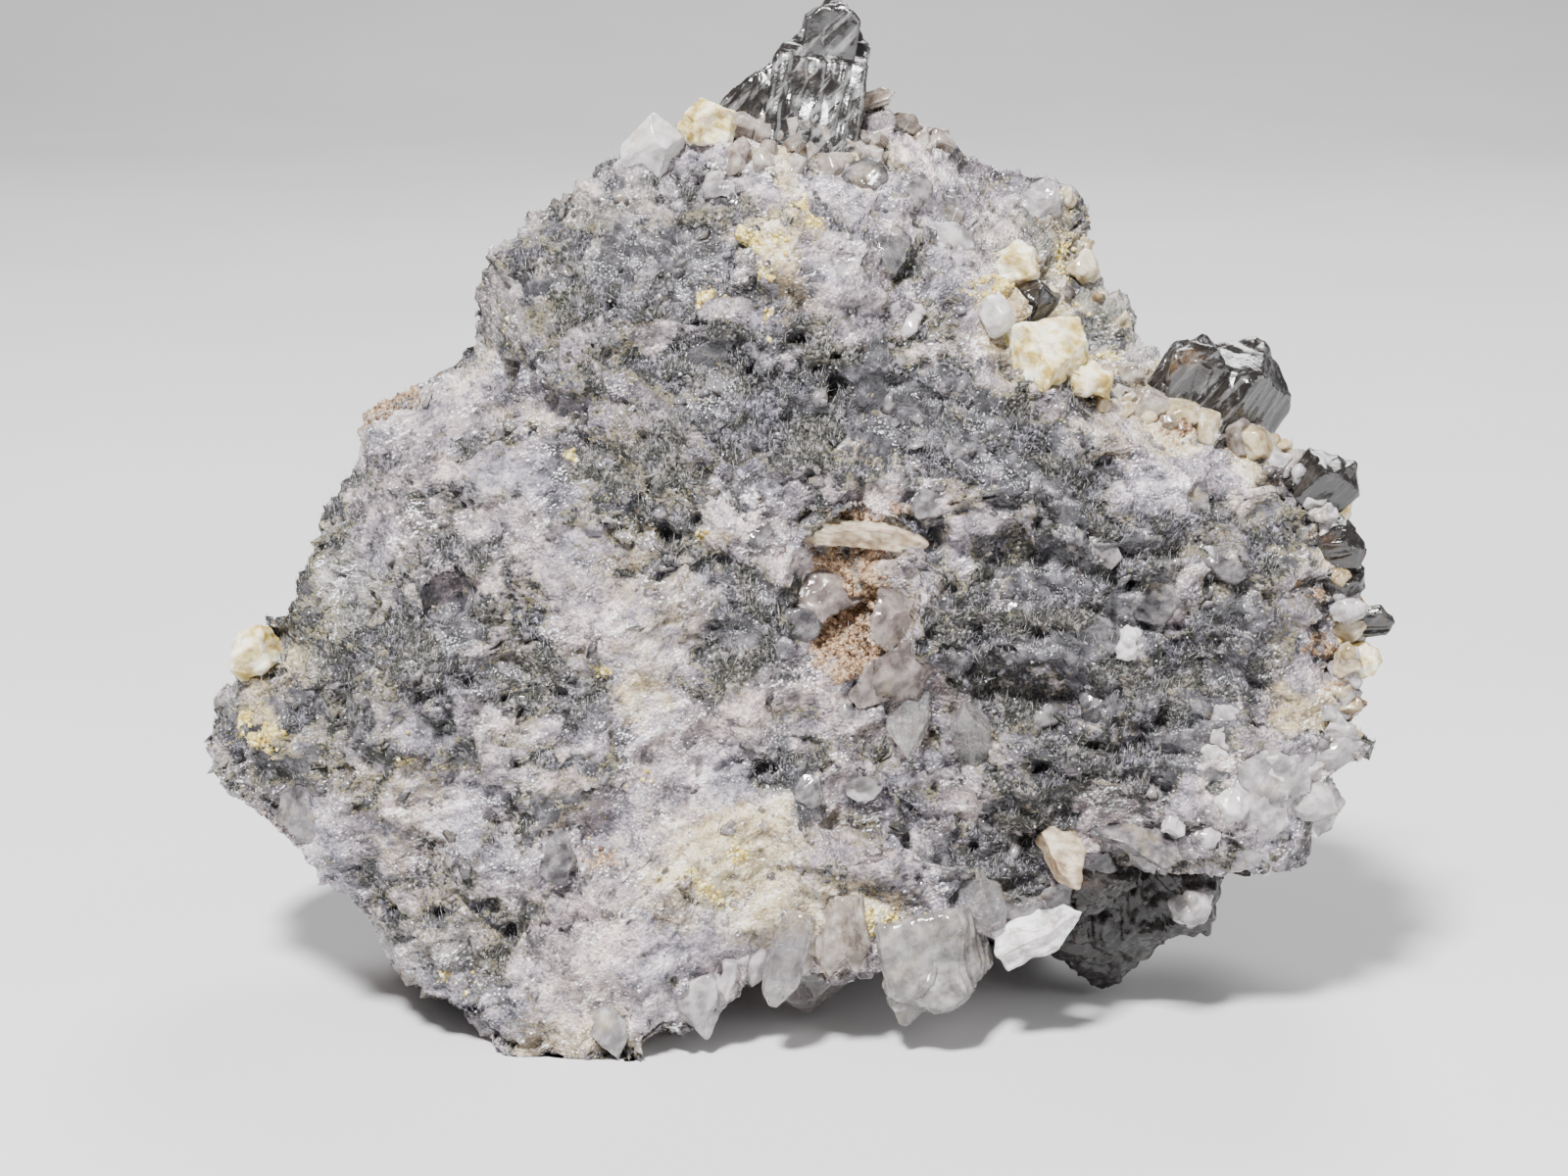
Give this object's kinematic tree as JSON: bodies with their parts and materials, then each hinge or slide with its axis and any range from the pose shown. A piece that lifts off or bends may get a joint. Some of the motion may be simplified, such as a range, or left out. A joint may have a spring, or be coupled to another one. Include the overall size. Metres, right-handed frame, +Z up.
{
  "type": "cassiterite specimen",
  "caption": "Hand-sized mineral specimen: black cassiterite crystals on quartz and tourmaline rock, standing on its own broken underside.",
  "frame": {"origin": "middle of the base of the whole specimen, on the surface it stands on", "axes": "+X to the right along the broken face, +Z up; the broken face looks towards -Y and leans back from it"},
  "size_m": [0.0712, 0.0346, 0.0596],
  "materials": {
    "rock": "granular broken quartz with dark tourmaline needles, matt to glittering",
    "cassiterite": "near-black, adamantine gloss, striated, brown in thin places",
    "quartz": "greyish white, translucent, bright crystal faces",
    "feldspar": "cream to yellow, matt to waxy"
  },
  "bodies": {
    "root": {"cassiterite_back_left": "cassiterite", "cassiterite_back_lower_left": "cassiterite", "cassiterite_back_lower_right": "cassiterite", "cassiterite_back_middle": "cassiterite", "cassiterite_back_right": "cassiterite", "cassiterite_back_upper_left": "cassiterite", "cassiterite_back_upper_right": "cassiterite", "cassiterite_edge_lower": "cassiterite", "cassiterite_edge_middle": "cassiterite", "cassiterite_edge_upper": "cassiterite", "cassiterite_lower_right": "cassiterite", "cassiterite_right": "cassiterite", "cassiterite_seam": "cassiterite", "cassiterite_top": "cassiterite", "feldspar_bead_edge": "feldspar", "feldspar_blade_lower": "feldspar", "feldspar_blade_pocket": "feldspar", "feldspar_lump_cream": "feldspar", "feldspar_lump_left": "feldspar", "feldspar_lump_top": "feldspar", "feldspar_lump_yellow": "feldspar", "feldspar_plate_edge": "feldspar", "feldspar_wedge_lower": "feldspar", "matrix": "rock", "quartz_bead_shoulder": "quartz", "quartz_block_shadow": "quartz", "quartz_lump_top": "quartz", "quartz_plate_lower": "quartz", "quartz_point_bright": "quartz", "quartz_point_fan": "quartz", "quartz_point_hanging": "quartz", "quartz_point_middle": "quartz"}
  },
  "joints": []
}
